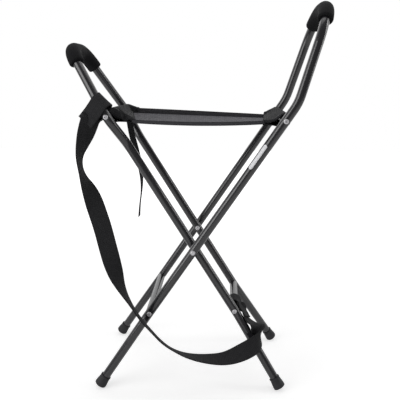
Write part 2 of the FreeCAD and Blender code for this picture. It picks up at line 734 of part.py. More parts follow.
loop_radius = float(tube_radius + cell("running_gap"))
loop_reach = cell("seat_reach") + cell("loop_rise")
taper = tangent(cell("inner_top_taper_angle"))
loop_centre = inner_near.at(loop_reach, outer_half - cell("loop_rise") * taper)
loop_axis = inner_near.at(loop_reach + 1, outer_half - (cell("loop_rise") + 1) * taper) - loop_centre
loop_axis.normalize()
loop_lay = FreeCAD.Rotation(ACROSS, -float(cell("loop_slant_angle"))).multVec(loop_axis)
strap_start = Vector(*strap_route[0][:3])
strap_side = Vector(*strap_route[0][3:])
off = strap_start - loop_centre
off = (off - loop_axis * off.dot(loop_axis)).normalize() * (loop_radius - webbing / 2)
square = loop_axis.dot(loop_lay)
tail = [(loop_centre + off - loop_axis * off.dot(loop_lay) / square, off, -loop_axis, width / square),
        (strap_start, (Vector(*strap_route[1][:3]) - strap_start).normalize(), strap_side, width)]
parts.append(add_strap_loop("strap_top_loop", loop_centre, loop_axis, loop_lay, loop_radius, tail))

bar_loop_radius = float(bar_radius + cell("running_gap"))
bar_loop_half = inner_half - tube_radius - cell("loop_setback") - cell("webbing_width") / 2
bar_centre = inner_near.at(-cell("lower_reach"), bar_loop_half)
strap_end = Vector(*strap_route[-1][:3])
strap_way = (strap_end - Vector(*strap_route[-2][:3])).normalize()
reach_in = (bar_centre - strap_end)
reach_in.y = 0
tail = [(bar_centre - reach_in.normalize() * (bar_loop_radius - webbing / 2), reach_in, ACROSS, width),
        (strap_end, strap_way, Vector(*strap_route[-1][3:]) * -1, width)]
parts.append(add_strap_loop("strap_lower_loop", bar_centre, ACROSS, ACROSS, bar_loop_radius, tail))

doc.recompute()
for item in doc.Objects:
    if "Invalid" in item.State or "Error" in item.State:
        raise RuntimeError(f"{item.Name} failed: {item.State}")
os.makedirs("parts", exist_ok=True)
for part in parts:
    if part.Shape.isNull() or not part.Shape.isValid():
        raise RuntimeError(f"{part.Name} has no valid shape")
    part.Label = part.Name
    part.Shape.exportStep(f"parts/{part.Label}.step")

for name, curve, thickness in (("carry strap", strap_curve, webbing),
                               ("closure tape", tape_curve, float(cell("tape_thickness")))):
    bends = [1 / max(curve.curvature(step / 10), 1e-9) for step in range(int(curve.LastParameter) * 10)]
    print(f"{name}: {curve.length():.0f} mm long, tightest bend {min(bends):.1f} mm radius,",
          f"{thickness} mm thick")
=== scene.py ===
# Walking stick seat: two bent tube frames that cross like scissors, with a sling between
# them, a foam grip on each handle, four rubber feet and a webbing carry strap. All lengths
# are in metres, and the photograph looks along +Y.
import json
import math

import bmesh
import bpy
from mathutils import Matrix, Vector, noise


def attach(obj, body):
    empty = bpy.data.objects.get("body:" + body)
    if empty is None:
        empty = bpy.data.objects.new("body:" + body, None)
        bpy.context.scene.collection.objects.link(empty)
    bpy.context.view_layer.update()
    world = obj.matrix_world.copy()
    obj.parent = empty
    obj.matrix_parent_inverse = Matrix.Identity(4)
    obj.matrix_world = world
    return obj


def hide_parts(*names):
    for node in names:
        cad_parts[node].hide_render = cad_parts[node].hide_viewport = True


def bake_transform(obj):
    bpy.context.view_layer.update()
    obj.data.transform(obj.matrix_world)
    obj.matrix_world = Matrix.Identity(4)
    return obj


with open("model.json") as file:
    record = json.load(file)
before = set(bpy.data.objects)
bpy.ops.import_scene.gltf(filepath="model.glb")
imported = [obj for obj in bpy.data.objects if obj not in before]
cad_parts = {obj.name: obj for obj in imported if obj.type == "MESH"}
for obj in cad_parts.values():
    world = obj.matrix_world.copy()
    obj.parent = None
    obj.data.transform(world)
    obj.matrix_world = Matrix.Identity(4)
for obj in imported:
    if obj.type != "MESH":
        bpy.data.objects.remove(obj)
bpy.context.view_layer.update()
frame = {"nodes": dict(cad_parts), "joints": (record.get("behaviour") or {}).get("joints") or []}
bpy.context.scene.view_settings.view_transform = "Standard"


# Camera: held by hand a little above the seat, looking slightly down at the near legs. Its
# place, its turns and its lens were solved from the tubes' lines in the photograph.
CAMERA_PLACE = Vector((0.05213, -0.932749, 0.582888))
CAMERA_YAW = math.radians(-2.910)
CAMERA_PITCH = math.radians(14.107)
CAMERA_ROLL = math.radians(0.068)
CAMERA_LENS = 44.56
CAMERA_FILM = 36.0
CAMERA_CLIP = 0.01
lens = bpy.data.cameras.new("camera")
lens.lens = CAMERA_LENS
lens.sensor_width = CAMERA_FILM
lens.clip_start = CAMERA_CLIP
camera = bpy.data.objects.new("camera", lens)
bpy.context.scene.collection.objects.link(camera)
bpy.context.scene.camera = camera
ahead = Vector((math.sin(CAMERA_YAW) * math.cos(CAMERA_PITCH),
                math.cos(CAMERA_YAW) * math.cos(CAMERA_PITCH), -math.sin(CAMERA_PITCH)))
sideways = Vector((math.cos(CAMERA_YAW), -math.sin(CAMERA_YAW), 0))
aim = Matrix((sideways, sideways.cross(ahead), -ahead)).transposed()
camera.matrix_world = (Matrix.Translation(CAMERA_PLACE)
                       @ (aim @ Matrix.Rotation(CAMERA_ROLL, 3, "Z")).to_4x4())


# Floor: matt white studio paper. It keeps the object's soft shadow, and for the camera it
# glows up to pure white further from the object, so that no edge or horizon shows.
def linear(colour):
    """A linear RGBA colour from an sRGB hex value."""
    parts = [int(colour[place:place + 2], 16) / 255 for place in (1, 3, 5)]
    return [part / 12.92 if part <= 0.04045 else ((part + 0.055) / 1.055) ** 2.4
            for part in parts] + [1.0]


def add_node(tree, kind, settings=None, inputs=None):
    """A new shader node. An input is given as a value, or as the socket that feeds it. A
    colour Mix has its factor at input 0, its colours at 6 and 7 and its result at output 2."""
    made = tree.nodes.new(kind)
    for name, value in (settings or {}).items():
        setattr(made, name, value)
    for name, value in (inputs or {}).items():
        if isinstance(value, bpy.types.NodeSocket):
            tree.links.new(value, made.inputs[name])
        else:
            made.inputs[name].default_value = value
    return made


def new_finish(name):
    """A material with nothing in it yet, and its node tree."""
    made = bpy.data.materials.new(name)
    made.use_nodes = True
    made.node_tree.nodes.clear()
    return made, made.node_tree


FLOOR_HALF = 3.0
FLOOR_DROP = 0.0004
FLOOR_MIRRORED = 0.15
GLOW_START, GLOW_END = 0.3, 1.6
GLOW_UNDER_OBJECT, GLOW_AWAY = 0.57, 1.0
floor_shape = bmesh.new()
bmesh.ops.create_grid(floor_shape, x_segments=1, y_segments=1, size=FLOOR_HALF)
bmesh.ops.translate(floor_shape, verts=floor_shape.verts, vec=(0, 0, -FLOOR_DROP))
floor_mesh = bpy.data.meshes.new("studio_floor")
floor_shape.to_mesh(floor_mesh)
floor_shape.free()
floor = bpy.data.objects.new("studio_floor", floor_mesh)
bpy.context.scene.collection.objects.link(floor)

# Matt paper, so that the lamps leave a soft grey shadow and no shine. The glow is for the
# camera, and a small part of it for what the tubes mirror. It lights nothing.
paper, tree = new_finish("white studio paper")
ray = add_node(tree, "ShaderNodeLightPath")
mirrored = add_node(tree, "ShaderNodeMath", {"operation": "MULTIPLY"},
                    {0: ray.outputs["Is Glossy Ray"], 1: FLOOR_MIRRORED})
seen = add_node(tree, "ShaderNodeMath", {"operation": "MAXIMUM"},
                {0: ray.outputs["Is Camera Ray"], 1: mirrored.outputs[0]})
place = add_node(tree, "ShaderNodeTexCoord")
away = add_node(tree, "ShaderNodeVectorMath", {"operation": "LENGTH"},
                {0: place.outputs["Object"]})
fade = add_node(tree, "ShaderNodeMapRange", None,
                {"Value": away.outputs["Value"], "From Min": GLOW_START, "From Max": GLOW_END,
                 "To Min": GLOW_UNDER_OBJECT, "To Max": GLOW_AWAY})
matt = add_node(tree, "ShaderNodeBsdfDiffuse", None, {"Color": linear("#d9d9d9")})
glow = add_node(tree, "ShaderNodeEmission", None,
                {"Color": linear("#ffffff"), "Strength": fade.outputs["Result"]})
dark = add_node(tree, "ShaderNodeEmission", None, {"Color": linear("#000000"), "Strength": 0.0})
lift = add_node(tree, "ShaderNodeMixShader", None,
                {0: seen.outputs[0], 1: dark.outputs[0], 2: glow.outputs[0]})
both = add_node(tree, "ShaderNodeAddShader", None, {0: matt.outputs[0], 1: lift.outputs[0]})
add_node(tree, "ShaderNodeOutputMaterial", None, {"Surface": both.outputs[0]})
floor.data.materials.append(paper)


# Room: a white studio that is dim on the camera's side. The camera sees plain white, and the
# glossy tubes mirror white at their far sides and the dim room at their near sides.
ROOM_LIGHT = 0.42
ROOM_MIRRORED_NEAR, ROOM_MIRRORED_FAR = 0.12, 1.0
DIM_UP_TO, WHITE_FROM = -0.1, 0.7
world = bpy.data.worlds.new("white studio")
world.use_nodes = True
bpy.context.scene.world = world
tree = world.node_tree
tree.nodes.clear()
ray = add_node(tree, "ShaderNodeLightPath")
way = add_node(tree, "ShaderNodeTexCoord")
parts = add_node(tree, "ShaderNodeSeparateXYZ", None, {0: way.outputs["Generated"]})
depth = add_node(tree, "ShaderNodeMapRange", None,
                 {"Value": parts.outputs["Y"], "From Min": DIM_UP_TO, "From Max": WHITE_FROM,
                  "To Min": ROOM_MIRRORED_NEAR, "To Max": ROOM_MIRRORED_FAR})
mirrored = add_node(tree, "ShaderNodeMath", {"operation": "MULTIPLY"},
                    {0: ray.outputs["Is Glossy Ray"], 1: depth.outputs[0]})
straight = add_node(tree, "ShaderNodeMath", {"operation": "MAXIMUM"},
                    {0: ray.outputs["Is Camera Ray"], 1: ray.outputs["Is Transmission Ray"]})
seen = add_node(tree, "ShaderNodeMath", {"operation": "MAXIMUM"},
                {0: straight.outputs[0], 1: mirrored.outputs[0]})
light = add_node(tree, "ShaderNodeBackground", None,
                 {"Color": linear("#ffffff"), "Strength": ROOM_LIGHT})
dark = add_node(tree, "ShaderNodeBackground", None,
                {"Color": linear("#000000"), "Strength": 0.0})
base = add_node(tree, "ShaderNodeMixShader", None,
                {0: ray.outputs["Is Glossy Ray"], 1: light.outputs[0], 2: dark.outputs[0]})
white = add_node(tree, "ShaderNodeBackground", None,
                 {"Color": linear("#ffffff"), "Strength": 1.0})
mix = add_node(tree, "ShaderNodeMixShader", None,
               {0: seen.outputs[0], 1: base.outputs[0], 2: white.outputs[0]})
add_node(tree, "ShaderNodeOutputWorld", None, {"Surface": mix.outputs[0]})


# Lamps: a large softbox on the left and one overhead, and a narrow strip on the right. They
# are mirrored as the long bright lines on the tubes. Each has its place, what it is aimed at,
# its width and height, and its power in watts.
LAMPS = (
    ("left softbox", (-1.25, -0.90, 0.95), (-0.05, 0, 0.5), 1.1, 1.25, 10.0),
    ("right strip", (1.4, 0.0, 0.95), (0.0, 0, 0.5), 0.25, 1.2, 3.5),
    ("top softbox", (0.1, 0.3, 2.2), (0, 0, 0.3), 1.4, 1.4, 6.0))
for name, place, target, width, height, power in LAMPS:
    lamp = bpy.data.lights.new(name, "AREA")
    lamp.shape = "RECTANGLE"
    lamp.size, lamp.size_y, lamp.energy = width, height, power
    stand = bpy.data.objects.new(name, lamp)
    bpy.context.scene.collection.objects.link(stand)
    stand.location = place
    stand.rotation_euler = (Vector(target) - Vector(place)).to_track_quat("-Z", "Y").to_euler()


# Frame tubes and crossbars: 16 mm steel tube, cold bent into the two frames, with crossbars
# coped to fit between the legs. All of it is sprayed with black enamel and stoved.
def dress(names, material):
    """Gives CAD nodes their finish."""
    for name in names:
        mesh = frame["nodes"][name].data
        mesh.materials.clear()
        mesh.materials.append(material)
        mesh.polygons.foreach_set("material_index", [0] * len(mesh.polygons))


# Stoving enamel is a hard glossy film, so each tube mirrors the softboxes as long lines. The
# spray lies a little unevenly, which makes the lines waver, and its gloss is hazy in places.
ORANGE_PEEL = 0.0025
ENAMEL_CLOUD = 0.0556
enamel, tree = new_finish("black stoving enamel on steel tube")
place = add_node(tree, "ShaderNodeTexCoord")
peel = add_node(tree, "ShaderNodeTexNoise", None,
                {"Vector": place.outputs["Object"], "Scale": 1 / ORANGE_PEEL, "Detail": 2.0})
cloud = add_node(tree, "ShaderNodeTexNoise", None,
                 {"Vector": place.outputs["Object"], "Scale": 1 / ENAMEL_CLOUD, "Detail": 3.0})
haze = add_node(tree, "ShaderNodeMapRange", None,
                {"Value": cloud.outputs["Fac"], "To Min": 0.2, "To Max": 0.32})
shade = add_node(tree, "ShaderNodeMix", {"data_type": "RGBA"},
                 {0: cloud.outputs["Fac"], 6: linear("#1c1b1f"), 7: linear("#262529")})
bump = add_node(tree, "ShaderNodeBump", None,
                {"Height": peel.outputs["Fac"], "Distance": 0.00003})
surface = add_node(tree, "ShaderNodeBsdfPrincipled", None,
                   {"Base Color": shade.outputs[2], "Roughness": haze.outputs["Result"],
                    "Specular IOR Level": 0.75, "Coat Weight": 0.6, "Coat Roughness": 0.12,
                    "Coat IOR": 1.55, "Normal": bump.outputs[0]})
add_node(tree, "ShaderNodeOutputMaterial", None, {"Surface": surface.outputs[0]})
dress(("outer_frame_tube", "inner_frame_tube", "outer_seat_crossbar", "outer_lower_crossbar",
       "inner_seat_crossbar", "inner_lower_crossbar"), enamel)


# Screws and rivets: turned steel. Button-head screws with a hexagon socket hold the
# crossbars between the legs, and the two rivets are the pivots of the scissors.

# Bright nickel plating gives small pale heads with a soft shine. It is set as only half a
# metal, because a full one would mirror little more than the dim side of the room. Its grain
# is drawn coarser than the real one, as in the fine finishes below, so that it shows at all.
NICKEL_GRAIN = 0.00111
nickel, tree = new_finish("bright nickel plating")
place = add_node(tree, "ShaderNodeTexCoord")
grain = add_node(tree, "ShaderNodeTexNoise", None,
                 {"Vector": place.outputs["Object"], "Scale": 1 / NICKEL_GRAIN})
rub = add_node(tree, "ShaderNodeMapRange", None,
               {"Value": grain.outputs["Fac"], "To Min": 0.34, "To Max": 0.46})
bump = add_node(tree, "ShaderNodeBump", None,
                {"Height": grain.outputs["Fac"], "Distance": 0.00002})
surface = add_node(tree, "ShaderNodeBsdfPrincipled", None,
                   {"Base Color": linear("#e4e3e6"), "Metallic": 0.55,
                    "Roughness": rub.outputs["Result"], "Normal": bump.outputs[0]})
add_node(tree, "ShaderNodeOutputMaterial", None, {"Surface": surface.outputs[0]})
dress(("outer_crossbar_screws", "inner_crossbar_screws", "pivot_rivet_near", "pivot_rivet_far"),
      nickel)


# Small fittings: moulded nylon spacers and saddle washers keep the legs apart at the pivots,
# and nylon plugs in the crossbar ends take the screws. A steel disc lies in each foot.

# Moulded nylon is dull and black, so the gaps between the legs stay dark.
NYLON_GRAIN = 0.000833
nylon, tree = new_finish("black moulded nylon")
place = add_node(tree, "ShaderNodeTexCoord")
grain = add_node(tree, "ShaderNodeTexNoise", None,
                 {"Vector": place.outputs["Object"], "Scale": 1 / NYLON_GRAIN})
bump = add_node(tree, "ShaderNodeBump", None,
                {"Height": grain.outputs["Fac"], "Distance": 0.00004})
surface = add_node(tree, "ShaderNodeBsdfPrincipled", None,
                   {"Base Color": linear("#1d1d1f"), "Roughness": 0.45,
                    "Normal": bump.outputs[0]})
add_node(tree, "ShaderNodeOutputMaterial", None, {"Surface": surface.outputs[0]})
dress(("pivot_spacers", "outer_crossbar_plugs", "inner_crossbar_plugs", "pivot_washers"), nylon)

# Zinc plating is a grey metal with a faint crystal grain. It shows only with a foot off.
ZINC_GRAIN = 0.00167
zinc, tree = new_finish("zinc plating")
place = add_node(tree, "ShaderNodeTexCoord")
grain = add_node(tree, "ShaderNodeTexNoise", None,
                 {"Vector": place.outputs["Object"], "Scale": 1 / ZINC_GRAIN})
bump = add_node(tree, "ShaderNodeBump", None,
                {"Height": grain.outputs["Fac"], "Distance": 0.00003})
surface = add_node(tree, "ShaderNodeBsdfPrincipled", None,
                   {"Base Color": linear("#a3a5a8"), "Metallic": 1.0, "Roughness": 0.38,
                    "Normal": bump.outputs[0]})
add_node(tree, "ShaderNodeOutputMaterial", None, {"Surface": surface.outputs[0]})
dress(("outer_foot_discs", "inner_foot_discs"), zinc)


# Feet: moulded black rubber ferrules with a beaded mouth, each pushed over a tube end until
# the tube stands on its disc.

# Moulded rubber has a fine dull grain and no highlight line, and dust greys it in patches.
RUBBER_GRAIN = 0.000714
RUBBER_DUST = 0.0111
rubber, tree = new_finish("black moulded rubber")
place = add_node(tree, "ShaderNodeTexCoord")
grain = add_node(tree, "ShaderNodeTexNoise", None,
                 {"Vector": place.outputs["Object"], "Scale": 1 / RUBBER_GRAIN, "Detail": 3.0})
dust = add_node(tree, "ShaderNodeTexNoise", None,
                {"Vector": place.outputs["Object"], "Scale": 1 / RUBBER_DUST, "Detail": 4.0})
shade = add_node(tree, "ShaderNodeMix", {"data_type": "RGBA"},
                 {0: dust.outputs["Fac"], 6: linear("#232326"), 7: linear("#38383b")})
bump = add_node(tree, "ShaderNodeBump", None,
                {"Height": grain.outputs["Fac"], "Distance": 0.00006})
surface = add_node(tree, "ShaderNodeBsdfPrincipled", None,
                   {"Base Color": shade.outputs[2], "Roughness": 0.6,
                    "Normal": bump.outputs[0]})
add_node(tree, "ShaderNodeOutputMaterial", None, {"Surface": surface.outputs[0]})
dress(("foot_outer_near", "foot_outer_far", "foot_inner_near", "foot_inner_far"), rubber)


# Grips: sleeves of black foam rubber, pushed along the oiled tube up to the top bends, where
# they hold by their own stretch. Their cut ends are rounded by use.
def finished(name, shape, material, body):
    """A new piece from a bmesh, with its finish, riding on a body if one is named."""
    mesh = bpy.data.meshes.new(name)
    shape.to_mesh(mesh)
    shape.free()
    mesh.materials.append(material)
    mesh.polygons.foreach_set("use_smooth", [True] * len(mesh.polygons))
    piece = bpy.data.objects.new(name, mesh)
    bpy.context.scene.collection.objects.link(piece)
    if body:
        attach(piece, body)
    return piece


# Foam rubber swallows the light: the deepest black here, matt, pitted by its open cells. The
# cells are drawn at about twice their size, so that they show.
FOAM_CELL = 0.0011
FOAM_CLOUD = 0.0167
foam, tree = new_finish("black foam rubber")
place = add_node(tree, "ShaderNodeTexCoord")
cells = add_node(tree, "ShaderNodeTexVoronoi", None,
                 {"Vector": place.outputs["Object"], "Scale": 1 / FOAM_CELL})
cloud = add_node(tree, "ShaderNodeTexNoise", None,
                 {"Vector": place.outputs["Object"], "Scale": 1 / FOAM_CLOUD, "Detail": 3.0})
shade = add_node(tree, "ShaderNodeMix", {"data_type": "RGBA"},
                 {0: cloud.outputs["Fac"], 6: linear("#101012"), 7: linear("#17171a")})
bump = add_node(tree, "ShaderNodeBump", None,
                {"Height": cells.outputs["Distance"], "Distance": 0.00012,
                 "Strength": 0.6})
surface = add_node(tree, "ShaderNodeBsdfPrincipled", None,
                   {"Base Color": shade.outputs[2], "Roughness": 0.85,
                    "Specular IOR Level": 0.25, "Normal": bump.outputs[0]})
add_node(tree, "ShaderNodeOutputMaterial", None, {"Surface": surface.outputs[0]})

# The CAD sleeve is remeshed to an even grid and relaxed, which rounds its cut ends.
FOAM_VOXEL = 0.0013
FOAM_RELAXED = 6
for name, body in (("outer_grip", "outer_frame"), ("inner_grip", "inner_frame")):
    shape = bmesh.new()
    shape.from_mesh(frame["nodes"][name].data)
    bmesh.ops.remove_doubles(shape, verts=shape.verts, dist=1e-6)
    block = finished(name + "_block", shape, foam, None)
    voxels = block.modifiers.new("voxels", "REMESH")
    voxels.mode = "VOXEL"
    voxels.voxel_size = FOAM_VOXEL
    relax = block.modifiers.new("relax", "SMOOTH")
    relax.factor, relax.iterations = 0.5, FOAM_RELAXED
    evaluated = block.evaluated_get(bpy.context.evaluated_depsgraph_get())
    shape = bmesh.new()
    shape.from_mesh(evaluated.to_mesh())
    bpy.data.objects.remove(block)
    grip = finished("foam_" + name, shape, foam, body)
    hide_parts(name)


# Sling: a strip of coarse grey cloth, held tight between the two seat crossbars. Each long
# edge is given by its height in the middle, its slope and its curl across half the sling.
SLING_HALF = 0.125
NEAR_TOP, NEAR_FOOT = (0.5054, -0.0007, 0.0036), (0.4984, -0.0008, 0.0044)
FAR_TOP, FAR_FOOT = (0.5146, -0.0056, -0.0003), (0.5030, -0.0042, 0.0004)


def edge_height(edge, x):
    """The height of a sling edge at x."""
    share = x / SLING_HALF
    return edge[0] + edge[1] * share + edge[2] * share * share


def thickened(piece, thickness, rounding=0.0):
    """Gives cloth its thickness, half to each side, and webbing its rounded edges."""
    wall = piece.modifiers.new("thickness", "SOLIDIFY")
    wall.thickness, wall.offset = thickness, 0
    if rounding:
        edge = piece.modifiers.new("edge", "BEVEL")
        edge.width, edge.segments = rounding, 2
        edge.limit_method, edge.angle_limit = "ANGLE", math.radians(50)


def cloth_grid(rows, columns, place_of, size=(1.0, 1.0), rolled=False):
    """A grid of cloth, each corner put where place_of(share across, share along) says, with a
    UV map in metres. A rolled grid closes on itself across."""
    shape = bmesh.new()
    layer = shape.loops.layers.uv.new("Cloth")
    bmesh.ops.create_grid(shape, x_segments=columns, y_segments=rows, size=0.5)
    shares = {corner: (corner.co.x + 0.5, corner.co.y + 0.5) for corner in shape.verts}
    for face in shape.faces:
        for loop in face.loops:
            across, along = shares[loop.vert]
            loop[layer].uv = (across * size[0], along * size[1])
    for corner, (across, along) in shares.items():
        corner.co = place_of(across, along)
    if rolled:
        bmesh.ops.remove_doubles(shape, verts=shape.verts, dist=1e-6)
        bmesh.ops.recalc_face_normals(shape, faces=shape.faces)
    return shape


CLOTH_WEAR = 0.00833
# The share of the cloth's colour that is painted highlight on each thread crown and painted shade
# in the gaps.
CROWN_PAINTED_LIGHT = 0.6
CROWN_HEIGHT = 0.3


def weave(name, dark, light, thread, specular=0.5):
    """Plain woven cloth on its UV map in metres, thread being the width of one thread: painted
    highlight on the crown of each thread where the threads cross, painted shade in the gaps
    between them, and slow patches of real wear. The dark colour is that painted gap shade and
    the light colour that painted crown highlight. A wave texture repeats every
    pi / (10 * scale), which is two threads here."""
    made, tree = new_finish(name)
    place = add_node(tree, "ShaderNodeUVMap", {"uv_map": "Cloth"})
    bars = [add_node(tree, "ShaderNodeTexWave", {"wave_type": "BANDS", "bands_direction": way},
                     {"Vector": place.outputs[0], "Scale": math.pi / (20 * thread),
                      "Distortion": 0.4, "Detail": 1.0, "Detail Scale": 2.0})
            for way in ("X", "Y")]
    crown_relief_and_painted_light = add_node(tree, "ShaderNodeMath", {"operation": "MULTIPLY"},
                      {0: bars[0].outputs["Fac"], 1: bars[1].outputs["Fac"]})
    wear = add_node(tree, "ShaderNodeTexNoise", None,
                    {"Vector": place.outputs[0], "Scale": 1 / CLOTH_WEAR, "Detail": 4.0})
    # The colour mix paints highlight on each thread crown and shade in the gaps between threads,
    # over real patches of wear.
    share = add_node(tree, "ShaderNodeMath", {"operation": "MULTIPLY_ADD", "use_clamp": True},
                     {0: crown_relief_and_painted_light.outputs[0], 1: CROWN_PAINTED_LIGHT, 2: wear.outputs["Fac"]})
    shade = add_node(tree, "ShaderNodeMix", {"data_type": "RGBA"},
                     {0: share.outputs[0], 6: linear(dark), 7: linear(light)})
    bump = add_node(tree, "ShaderNodeBump", None,
                    {"Height": crown_relief_and_painted_light.outputs[0], "Distance": thread * CROWN_HEIGHT})
    surface = add_node(tree, "ShaderNodeBsdfPrincipled", None,
                       {"Base Color": shade.outputs[2], "Roughness": 0.8,
                        "Specular IOR Level": specular, "Normal": bump.outputs[0]})
    add_node(tree, "ShaderNodeOutputMaterial", None, {"Surface": surface.outputs[0]})
    return made


# Coarse polyester: a mid grey, matt cloth, whose thick threads just show as a grain. They are
# drawn a little thicker than real ones for that.
PANEL_THREAD = 0.0018
# 434246 is painted shade in the gaps between threads, and #727176 painted highlight on each thread
# crown.
panel_cloth = weave("coarse grey polyester sling cloth", "#434246", "#727176", PANEL_THREAD, 0.3)

PANEL_NEAR, PANEL_FAR = -0.0702, 0.0690
PANEL_LEFT, PANEL_LEFT_SLANT = -0.112, -0.025
PANEL_RIGHT, PANEL_RIGHT_SLANT = 0.122, 0.009
PANEL_SIZE = (0.253, 0.139)
PANEL_THICKNESS = 0.0022
PANEL_SAG = 0.0012
BELOW_NEAR_TOP, ABOVE_FAR_FOOT = 0.0013, 0.0015

# The folds: their spacing and height, the way across them, how far they wander and how often
# per metre, their patches per metre and least height there, and how fast they rise from an
# edge, the whole sling being 1.
FOLD_SPACING, FOLD_HEIGHT = 0.013, 0.0015
FOLD_ACROSS = (0.8, 0.55)
FOLD_WANDER, WANDERS = 2, 30
PATCHES = (18, 12)
PATCH_LEAST = 0.35
FOLD_RISE = 6


def panel_point(across, along):
    """A point of the sling cloth: it rises to the near edge and is pulled in slanting folds,
    which die out at both edges and come in patches."""
    reach = PANEL_NEAR + (PANEL_FAR - PANEL_NEAR) * along
    left, right = PANEL_LEFT + PANEL_LEFT_SLANT * along, PANEL_RIGHT + PANEL_RIGHT_SLANT * along
    x = left + (right - left) * across
    near = edge_height(NEAR_TOP, x) - BELOW_NEAR_TOP
    far = edge_height(FAR_FOOT, x) + ABOVE_FAR_FOOT
    fold = math.sin((x * FOLD_ACROSS[0] + reach * FOLD_ACROSS[1]) * 2 * math.pi / FOLD_SPACING
                    + FOLD_WANDER * noise.noise(Vector((x * WANDERS, reach * WANDERS, 1))))
    calm = min(1.0, along * FOLD_RISE, (1 - along) * FOLD_RISE)
    patch = PATCH_LEAST + (1 - PATCH_LEAST) * abs(
        noise.noise(Vector((x * PATCHES[0], reach * PATCHES[1], 5))))
    return Vector((x, reach, near + (far - near) * along + FOLD_HEIGHT * fold * calm * patch
                   - PANEL_SAG * math.sin(math.pi * along)))


shape = cloth_grid(56, 110, panel_point, PANEL_SIZE)
panel = finished("woven_sling", shape, panel_cloth, None)
thickened(panel, PANEL_THICKNESS)
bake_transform(panel)
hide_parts("seat_panel")


# Sling edges: a folded tape binds each long edge of the sling. It is sewn through in a row
# near its top and one near its foot, and the rows pinch it thin. Each has its place in depth,
# its two edges, its left and right ends and its flat size.
HEMS = {
    "near": (-0.0710, NEAR_TOP, NEAR_FOOT, -0.1105, 0.1205, (0.010, 0.226)),
    "far": (0.0700, FAR_TOP, FAR_FOOT, -0.1250, 0.1290, (0.0135, 0.254)),
}
HEM_THICKNESS = 0.0029
HEM_ROUND = 0.022

# The tape's section: how far it is squared off, its sway and sways per metre, how thin and
# low it ends and how soon, and where, how widely and how much the seams pinch it.
HEM_SQUARED = 0.45
HEM_SWAY, SWAYS = 0.0009, (26, 1.2, 40)
HEM_END_THIN, HEM_END_LOW, HEM_END_STEEP = 0.3, 0.9, 60
PINCH_PLACE, PINCH_WIDTH, PINCH_SHARE = 0.72, 0.13, 0.45

# Its seams, by their share of its height, how far they stop from its ends, and how far the
# stitches stand off its middle, in its thicknesses.
SEAM_ROWS = (("upper", 0.86), ("lower", 0.14))
SEAM_INSET = 0.004
SEAM_STEPS = 60
STITCH_OUT = 0.31
STITCH_SPACING, STITCH_LENGTH, THREAD = 0.0042, 0.0031, 0.0007


def hem_sway(x, up, reach):
    """How far the tape wanders from its line. Up goes from -1 at its foot to 1 at its top."""
    return HEM_SWAY * noise.noise(Vector((x * SWAYS[0], up * SWAYS[1], reach * SWAYS[2])))


def hem_point(hem, across, along):
    """A point on the folded tape. Across goes round its flat section, an oval that is squared
    off, pinched at the seams and closed in at both ends of the tape."""
    reach, top, foot, left, right, flat_size = hem
    x = left + (right - left) * along
    low, high = edge_height(foot, x), edge_height(top, x)
    turn = 2 * math.pi * across
    up, out = -math.cos(turn), math.sin(turn)
    flat = math.copysign(abs(out) ** HEM_SQUARED, out)
    pinch = math.exp(-((abs(up) - PINCH_PLACE) / PINCH_WIDTH) ** 2)
    rise = math.sqrt(max(0.0, min(along, 1 - along) * HEM_END_STEEP))
    close = min(1.0, rise * (1 - HEM_END_THIN) + HEM_END_THIN)
    tall = HEM_END_LOW + (1 - HEM_END_LOW) * close
    half = HEM_THICKNESS / 2 * (1 - PINCH_SHARE * pinch) * close
    return Vector((x, reach + flat * half + hem_sway(x, up, reach),
                   (low + high) / 2 + up * (high - low) / 2 * tall))


def sew(name, line, spacing, length, material, body):
    """A row of stitches along a line of points: short rounded threads with gaps between."""
    shape = bmesh.new()
    due = spacing / 2
    run = 0.0
    for start, end in zip(line, line[1:]):
        step = (end - start).length
        while due < run + step:
            middle = start.lerp(end, (due - run) / step)
            turn = (end - start).to_track_quat("Z", "Y").to_matrix().to_4x4()
            size = Matrix.Diagonal((THREAD, THREAD, length, 1.0))
            bmesh.ops.create_uvsphere(shape, u_segments=6, v_segments=5, radius=0.5,
                                      matrix=Matrix.Translation(middle) @ turn @ size)
            due += spacing
        run += step
    return finished(name, shape, material, body)


# Folded binding tape: darker and finer than the sling, it draws the seat's crisp dark edges.
BINDING_THREAD = 0.0009
# 2a2a2d is painted shade in the gaps between threads, and #414045 painted highlight on each thread
# crown.
binding = weave("folded dark grey binding tape", "#2a2a2d", "#414045", BINDING_THREAD)

# Bonded thread is smooth and black, and its twist glints a little on each stitch.
THREAD_TWIST = 0.000349
thread_finish, tree = new_finish("black bonded nylon thread")
place = add_node(tree, "ShaderNodeTexCoord")
twist = add_node(tree, "ShaderNodeTexWave", {"bands_direction": "DIAGONAL"},
                 {"Vector": place.outputs["Object"], "Scale": math.pi / (10 * THREAD_TWIST)})
bump = add_node(tree, "ShaderNodeBump", None,
                {"Height": twist.outputs["Fac"], "Distance": 0.00005})
surface = add_node(tree, "ShaderNodeBsdfPrincipled", None,
                   {"Base Color": linear("#121214"), "Roughness": 0.5,
                    "Normal": bump.outputs[0]})
add_node(tree, "ShaderNodeOutputMaterial", None, {"Surface": surface.outputs[0]})

